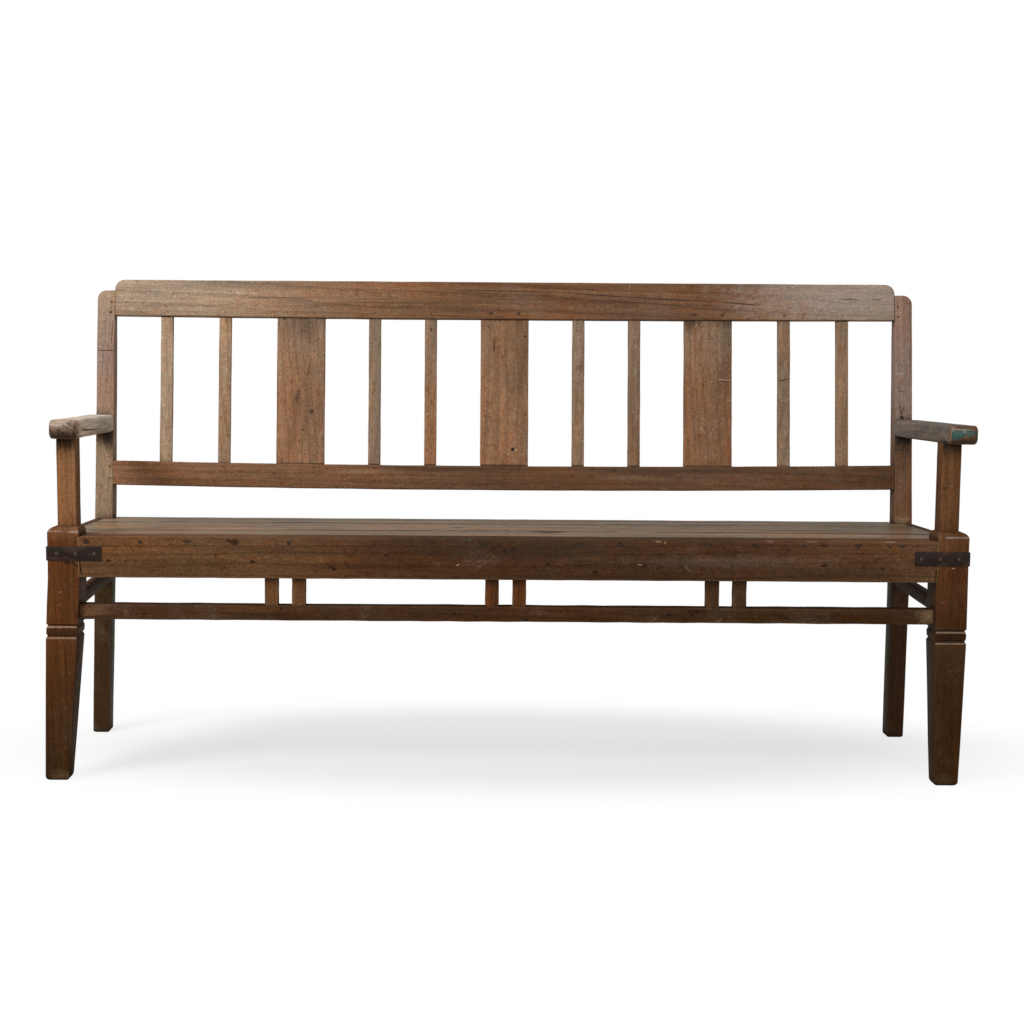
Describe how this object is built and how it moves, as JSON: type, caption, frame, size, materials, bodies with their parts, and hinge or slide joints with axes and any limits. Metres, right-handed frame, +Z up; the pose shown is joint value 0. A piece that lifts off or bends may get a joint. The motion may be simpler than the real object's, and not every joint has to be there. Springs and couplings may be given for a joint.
{
  "type": "slat-back bench with arms",
  "caption": "Old country bench of worn brown wood: slatted leaning back with wide splats, two arms, deep apron, legs with turned-in feet, black iron corner straps",
  "frame": {"origin": "on the floor, under the middle of the bench's bounding box", "axes": "+X along the bench to the sitter's left, which is the right side as seen from the front; +Y towards the back; +Z up"},
  "size_m": [1.7302, 0.4902, 0.9495],
  "materials": {
    "leg_wood": "worn satin",
    "apron_wood": "worn satin",
    "seat_wood": "polished by use",
    "post_wood": "dull, worn",
    "rail_wood": "worn satin",
    "splat_wood": "worn satin",
    "arm_wood": "dull, weathered",
    "stretcher_wood": "dull, dirty",
    "hidden_wood": "rough, dry",
    "peg_wood": "dull, dirty",
    "strap_iron": "black, forged",
    "nail_iron": "dark, rusted"
  },
  "bodies": {
    "root": {"front_leg_left": "leg_wood", "front_leg_right": "leg_wood", "back_post_left": "post_wood", "back_post_right": "post_wood", "crest_rail": "rail_wood", "lower_back_rail": "rail_wood", "back_splat_left": "splat_wood", "back_splat_centre": "splat_wood", "back_splat_right": "splat_wood", "back_slat_1": "splat_wood", "back_slat_2": "splat_wood", "back_slat_3": "splat_wood", "back_slat_4": "splat_wood", "back_slat_5": "splat_wood", "back_slat_6": "splat_wood", "back_slat_7": "splat_wood", "back_slat_8": "splat_wood", "arm_left": "arm_wood", "arm_right": "arm_wood", "front_apron": "apron_wood", "side_seat_rail_left": "apron_wood", "side_seat_rail_right": "apron_wood", "seat_board_front": "seat_wood", "seat_board_middle": "seat_wood", "seat_board_back": "seat_wood", "front_stretcher": "stretcher_wood", "side_stretcher_left": "stretcher_wood", "side_stretcher_right": "stretcher_wood", "stretcher_upright_1": "stretcher_wood", "stretcher_upright_2": "stretcher_wood", "stretcher_upright_3": "stretcher_wood", "stretcher_upright_4": "stretcher_wood", "stretcher_upright_5": "stretcher_wood", "stretcher_upright_6": "stretcher_wood", "rear_seat_rail": "hidden_wood", "seat_bearer_left": "hidden_wood", "seat_bearer_centre": "hidden_wood", "seat_bearer_right": "hidden_wood", "crest_pegs": "peg_wood", "lower_rail_pegs": "peg_wood", "crest_slat_pins": "peg_wood", "lower_rail_slat_pins": "peg_wood", "corner_strap_left": "strap_iron", "corner_strap_right": "strap_iron", "strap_nails": "nail_iron", "apron_nails": "nail_iron", "seat_nails": "nail_iron", "upright_pins": "nail_iron"}
  },
  "joints": []
}
